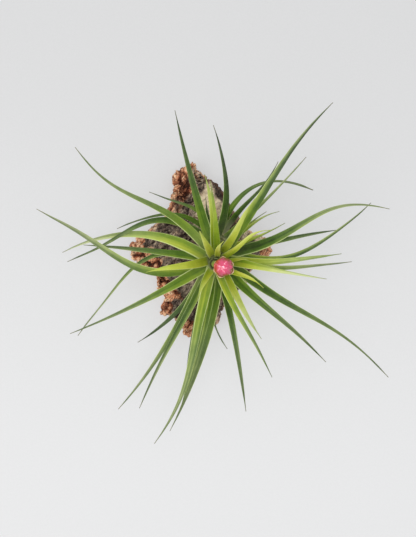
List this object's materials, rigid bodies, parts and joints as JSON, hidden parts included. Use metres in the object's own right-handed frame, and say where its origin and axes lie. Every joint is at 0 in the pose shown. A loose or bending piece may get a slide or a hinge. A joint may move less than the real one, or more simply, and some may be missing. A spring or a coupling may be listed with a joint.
{
  "type": "air plant on cork bark",
  "caption": "Rosette of narrow channelled leaves around a rose-coloured flower bud, gripping a rugged piece of cork bark that rests flat.",
  "frame": {"origin": "on the surface that the bark rests on, in the middle of the flat spot under the cork bark", "axes": "+Z up from that surface; seen from straight above, as in the picture, +X is to the right and +Y is up"},
  "size_m": [0.164, 0.1561, 0.0784],
  "materials": {
    "cork_bark": "rough dark cork with orange-brown broken edges",
    "roots": "dry and wiry",
    "stem": "papery old leaf bases",
    "outer_bracts": "soft green, cream and pink",
    "flower_head": "glossy rose",
    "outer_leaf": "satin dark grey-green with pale edges",
    "middle_leaf": "satin mid green with pale edges",
    "inner_leaf": "satin fresh green with pale edges",
    "heart_leaf": "satin yellow-green with pale edges"
  },
  "bodies": {
    "root": {"cork_bark": "cork_bark", "roots": "roots", "stem": "stem", "outer_bracts": "outer_bracts", "flower_head": "flower_head", "outer_leaf_01": "outer_leaf", "outer_leaf_02": "outer_leaf", "outer_leaf_03": "outer_leaf", "outer_leaf_04": "outer_leaf", "outer_leaf_05": "outer_leaf", "outer_leaf_06": "outer_leaf", "outer_leaf_07": "outer_leaf", "outer_leaf_08": "outer_leaf", "outer_leaf_09": "outer_leaf", "outer_leaf_10": "outer_leaf", "outer_leaf_11": "outer_leaf", "outer_leaf_12": "outer_leaf", "outer_leaf_13": "outer_leaf", "outer_leaf_14": "outer_leaf", "outer_leaf_15": "outer_leaf", "outer_leaf_16": "outer_leaf", "middle_leaf_01": "middle_leaf", "middle_leaf_02": "middle_leaf", "middle_leaf_03": "middle_leaf", "middle_leaf_04": "middle_leaf", "middle_leaf_05": "middle_leaf", "middle_leaf_06": "middle_leaf", "middle_leaf_07": "middle_leaf", "middle_leaf_08": "middle_leaf", "middle_leaf_09": "middle_leaf", "middle_leaf_10": "middle_leaf", "middle_leaf_11": "middle_leaf", "middle_leaf_12": "middle_leaf", "middle_leaf_13": "middle_leaf", "inner_leaf_01": "inner_leaf", "inner_leaf_02": "inner_leaf", "inner_leaf_03": "inner_leaf", "inner_leaf_04": "inner_leaf", "inner_leaf_05": "inner_leaf", "inner_leaf_06": "inner_leaf", "inner_leaf_07": "inner_leaf", "inner_leaf_08": "inner_leaf", "inner_leaf_09": "inner_leaf", "heart_leaf_01": "heart_leaf", "heart_leaf_02": "heart_leaf", "heart_leaf_03": "heart_leaf", "heart_leaf_04": "heart_leaf", "heart_leaf_05": "heart_leaf", "heart_leaf_06": "heart_leaf", "heart_leaf_07": "heart_leaf", "heart_leaf_08": "heart_leaf", "heart_leaf_09": "heart_leaf", "heart_leaf_10": "heart_leaf"}
  },
  "joints": []
}
